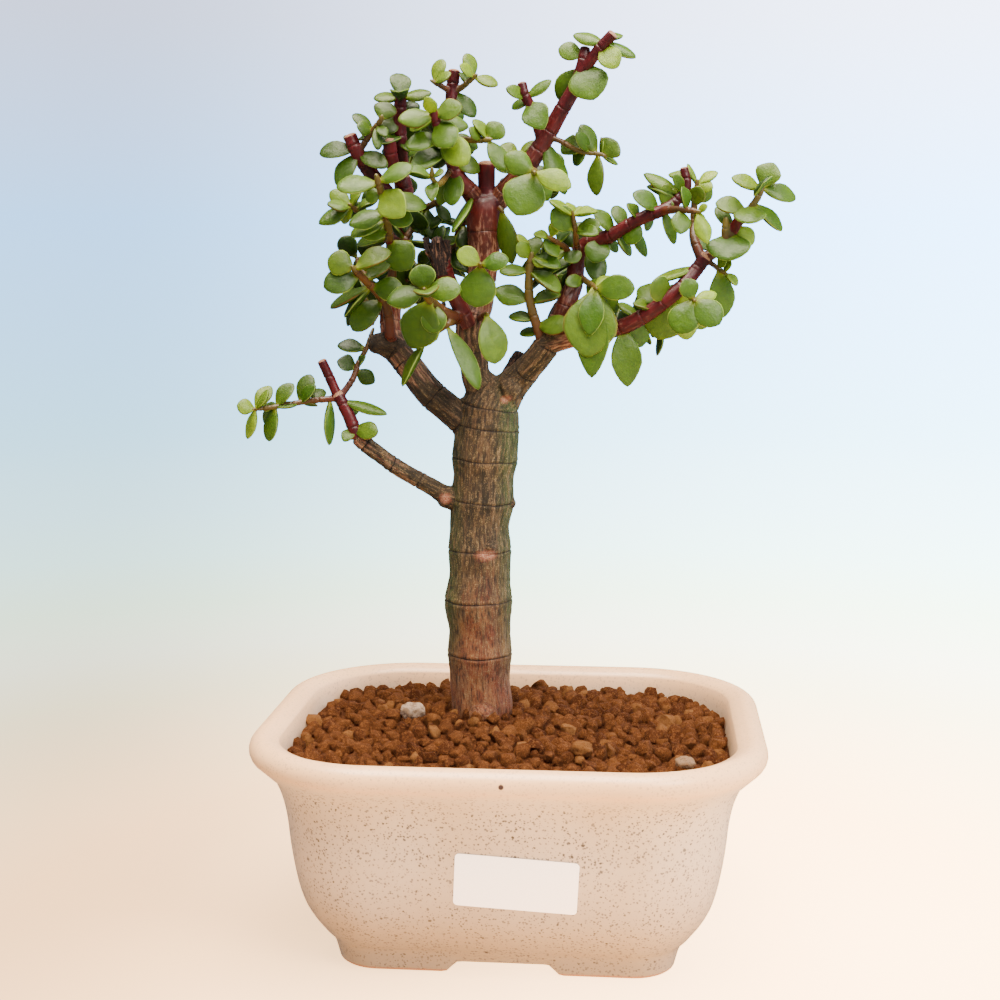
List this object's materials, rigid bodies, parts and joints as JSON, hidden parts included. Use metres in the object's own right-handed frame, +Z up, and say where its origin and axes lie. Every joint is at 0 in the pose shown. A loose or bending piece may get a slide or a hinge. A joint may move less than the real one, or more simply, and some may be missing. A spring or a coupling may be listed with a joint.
{
  "type": "potted bonsai tree",
  "caption": "Dwarf jade bonsai: a thick upright trunk with forked limbs and plump oval leaves, planted in granular soil in a glazed rounded oblong pot with a notched foot.",
  "frame": {"origin": "bottom centre of the whole object's box, which is the middle of the pot's foot on the ground to within 0.3 mm", "axes": "+Z up; the tree's front and the pot's long side with the sticker face -Y; +X to the right seen from the front"},
  "size_m": [0.2048, 0.16, 0.3395],
  "materials": {
    "glaze": "satin cream-pink glaze with fine specks",
    "drain_mesh": "black plastic net",
    "sticker": "blank white sticker",
    "soil": "matt baked clay granules",
    "pumice": "matt pale grain",
    "bark": "ringed olive-brown bark",
    "leaf": "thick satin-gloss green leaves on maroon stems"
  },
  "bodies": {
    "root": {"pot": "glaze", "drain_mesh_left": "drain_mesh", "drain_mesh_right": "drain_mesh", "label": "sticker", "soil": "soil", "pumice_grain": "pumice", "trunk": "bark", "low_left": "leaf", "left_front": "leaf", "centre_low": "leaf", "left_crown": "leaf", "centre_left": "leaf", "centre_top": "leaf", "centre_front": "leaf", "centre_lime": "leaf", "upright": "leaf", "right_inner": "leaf", "right_outer": "leaf"}
  },
  "joints": []
}
